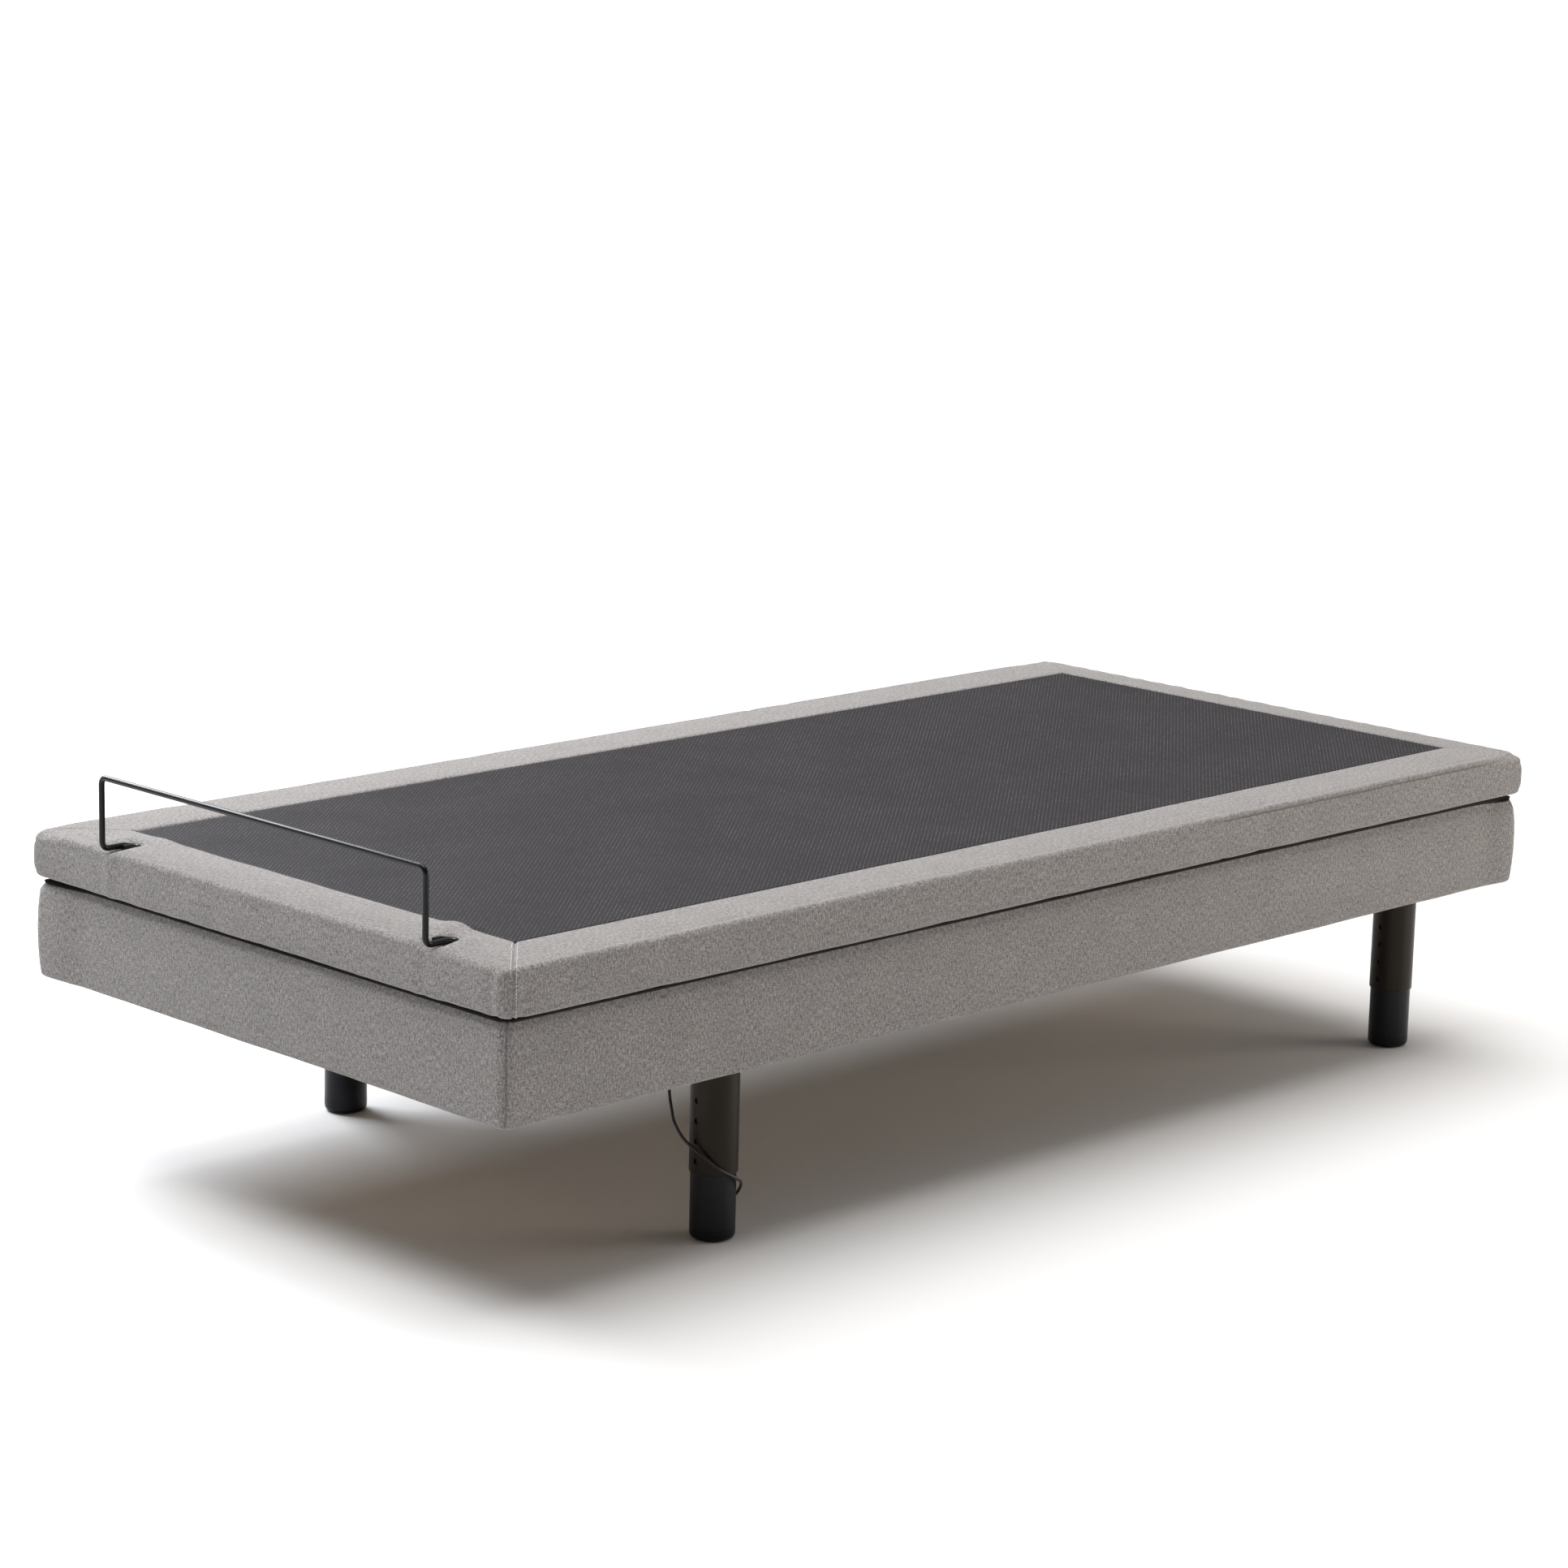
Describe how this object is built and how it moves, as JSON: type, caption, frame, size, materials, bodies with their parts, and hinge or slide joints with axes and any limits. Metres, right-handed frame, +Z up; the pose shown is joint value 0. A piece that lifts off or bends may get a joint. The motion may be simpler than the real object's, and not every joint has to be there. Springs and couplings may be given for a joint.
{
  "type": "adjustable bed base",
  "caption": "Upholstered adjustable bed base with a raising head section, folding thigh and calf sections, telescoping legs, a mattress retainer bar and a power cord.",
  "frame": {"origin": "on the floor under the centre of the base", "axes": "+Z up, +Y toward the head end, -Y toward the foot end with the retainer bar, +X to the right of a person lying face up seen from the foot"},
  "size_m": [0.965, 2.032, 0.552],
  "materials": {
    "grey_fabric": "heather woven upholstery over foam",
    "plywood": "unfinished plywood",
    "black_paint": "satin black powder coat",
    "frame_paint": "dark grey powder coat",
    "bare_steel": "zinc plated",
    "black_plastic": "fine texture",
    "roller_plastic": "moulded nylon",
    "cord_plastic": "soft black cable sheath"
  },
  "bodies": {
    "base": {"side_rail_left": "plywood", "side_rail_right": "plywood", "end_rail_foot": "plywood", "end_rail_head": "plywood", "side_skirt_left": "grey_fabric", "side_skirt_right": "grey_fabric", "end_skirt_foot": "grey_fabric", "end_skirt_head": "grey_fabric", "leg_beam_foot": "frame_paint", "leg_beam_head": "frame_paint", "middle_beam": "frame_paint", "head_beam": "frame_paint", "seat_beam": "frame_paint", "hinge_plate_left": "frame_paint", "hinge_plate_right": "frame_paint", "seat_board": "plywood", "seat_cover": "grey_fabric", "leg_outer_tube_foot_left": "black_paint", "leg_outer_tube_foot_right": "black_paint", "leg_outer_tube_head_left": "black_paint", "leg_outer_tube_head_right": "black_paint", "control_box": "black_plastic", "cable_gland": "black_plastic", "head_hinge_rod": "bare_steel", "thigh_hinge_rod": "bare_steel", "power_cord": "cord_plastic", "power_cord_coil": "cord_plastic", "power_plug": "cord_plastic"},
    "head_deck": {"head_frame": "frame_paint", "head_board": "plywood", "head_cover": "grey_fabric"},
    "thigh_deck": {"thigh_frame": "frame_paint", "thigh_board": "plywood", "thigh_cover": "grey_fabric", "knee_hinge_rod": "bare_steel"},
    "calf_deck": {"calf_frame": "frame_paint", "calf_board": "plywood", "calf_cover": "grey_fabric", "mattress_retainer_bar": "black_paint"},
    "head_lift": {"head_lift_tube": "frame_paint"},
    "foot_lift": {"foot_lift_tube": "frame_paint"},
    "head_roller_left": {"head_roller_left": "roller_plastic"},
    "head_roller_right": {"head_roller_right": "roller_plastic"},
    "foot_roller_left": {"foot_roller_left": "roller_plastic"},
    "foot_roller_right": {"foot_roller_right": "roller_plastic"},
    "head_actuator": {"head_actuator_motor": "black_plastic", "head_actuator_tube": "black_paint"},
    "head_actuator_rod": {"head_actuator_rod": "bare_steel"},
    "foot_actuator": {"foot_actuator_motor": "black_plastic", "foot_actuator_tube": "black_paint"},
    "foot_actuator_rod": {"foot_actuator_rod": "bare_steel"},
    "calf_links": {"calf_link": "frame_paint"},
    "leg_foot_left": {"leg_inner_tube_foot_left": "black_paint", "leg_foot_foot_left": "black_plastic"},
    "leg_foot_right": {"leg_inner_tube_foot_right": "black_paint", "leg_foot_foot_right": "black_plastic"},
    "leg_head_left": {"leg_inner_tube_head_left": "black_paint", "leg_foot_head_left": "black_plastic"},
    "leg_head_right": {"leg_inner_tube_head_right": "black_paint", "leg_foot_head_right": "black_plastic"}
  },
  "joints": [
    {"name": "head_hinge", "type": "hinge", "parent": "base", "child": "head_deck", "pos_m": [0, 0.33, 0.42], "axis": [1, 0, 0], "range_deg": [0, 60]},
    {"name": "thigh_hinge", "type": "hinge", "parent": "base", "child": "thigh_deck", "pos_m": [0, -0.045, 0.42], "axis": [-1, 0, 0], "range_deg": [0, 40]},
    {"name": "knee_hinge", "type": "hinge", "parent": "thigh_deck", "child": "calf_deck", "pos_m": [0, -0.445, 0.42], "axis": [1, 0, 0], "range_deg": [0, 50]},
    {"name": "head_lift_pivot", "type": "hinge", "parent": "base", "child": "head_lift", "pos_m": [0, 0.212, 0.358], "axis": [1, 0, 0], "range_deg": [0, 41]},
    {"name": "foot_lift_pivot", "type": "hinge", "parent": "base", "child": "foot_lift", "pos_m": [0, 0.045, 0.358], "axis": [-1, 0, 0], "range_deg": [0, 26.5]},
    {"name": "head_roller_left_axle", "type": "hinge", "parent": "head_lift", "child": "head_roller_left", "pos_m": [0, 0.61152, 0.3775], "axis": [1, 0, 0], "continuous": true},
    {"name": "head_roller_right_axle", "type": "hinge", "parent": "head_lift", "child": "head_roller_right", "pos_m": [0, 0.61152, 0.3775], "axis": [1, 0, 0], "continuous": true},
    {"name": "foot_roller_left_axle", "type": "hinge", "parent": "foot_lift", "child": "foot_roller_left", "pos_m": [0, -0.25537, 0.3775], "axis": [1, 0, 0], "continuous": true},
    {"name": "foot_roller_right_axle", "type": "hinge", "parent": "foot_lift", "child": "foot_roller_right", "pos_m": [0, -0.25537, 0.3775], "axis": [1, 0, 0], "continuous": true},
    {"name": "head_actuator_pivot", "type": "hinge", "parent": "base", "child": "head_actuator", "pos_m": [0.1, -0.2, 0.282], "axis": [1, 0, 0], "range_deg": [-0.5, 1.5]},
    {"name": "head_actuator_stroke", "type": "slide", "parent": "head_actuator", "child": "head_actuator_rod", "axis": [0, 0.9998, -0.0219], "range_m": [0, 0.06]},
    {"name": "foot_actuator_pivot", "type": "hinge", "parent": "base", "child": "foot_actuator", "pos_m": [-0.1, 0.455, 0.282], "axis": [-1, 0, 0], "range_deg": [-0.5, 1.5]},
    {"name": "foot_actuator_stroke", "type": "slide", "parent": "foot_actuator", "child": "foot_actuator_rod", "axis": [0, -0.9993, -0.0364], "range_m": [0, 0.042]},
    {"name": "calf_link_pivot", "type": "hinge", "parent": "base", "child": "calf_links", "pos_m": [0, -0.3886, 0.36], "axis": [-1, 0, 0], "range_deg": [0, 37]},
    {"name": "leg_foot_left_slide", "type": "slide", "parent": "base", "child": "leg_foot_left", "axis": [0, 0, -1], "range_m": [0, 0.081]},
    {"name": "leg_foot_right_slide", "type": "slide", "parent": "base", "child": "leg_foot_right", "axis": [0, 0, -1], "range_m": [0, 0.081]},
    {"name": "leg_head_left_slide", "type": "slide", "parent": "base", "child": "leg_head_left", "axis": [0, 0, -1], "range_m": [0, 0.081]},
    {"name": "leg_head_right_slide", "type": "slide", "parent": "base", "child": "leg_head_right", "axis": [0, 0, -1], "range_m": [0, 0.081]}
  ],
  "couplings": [
    {"joint": "head_lift_pivot", "follows": "head_hinge", "ratio": 0.675},
    {"joint": "head_actuator_pivot", "follows": "head_hinge", "ratio": 0.01368},
    {"joint": "head_actuator_stroke", "follows": "head_hinge", "m_per_rad": 0.05607},
    {"joint": "knee_hinge", "follows": "thigh_hinge", "ratio": 1.25},
    {"joint": "foot_lift_pivot", "follows": "thigh_hinge", "ratio": 0.6543},
    {"joint": "foot_actuator_pivot", "follows": "thigh_hinge", "ratio": 0.02091},
    {"joint": "foot_actuator_stroke", "follows": "thigh_hinge", "m_per_rad": 0.05775},
    {"joint": "calf_link_pivot", "follows": "thigh_hinge", "ratio": 0.9206}
  ]
}
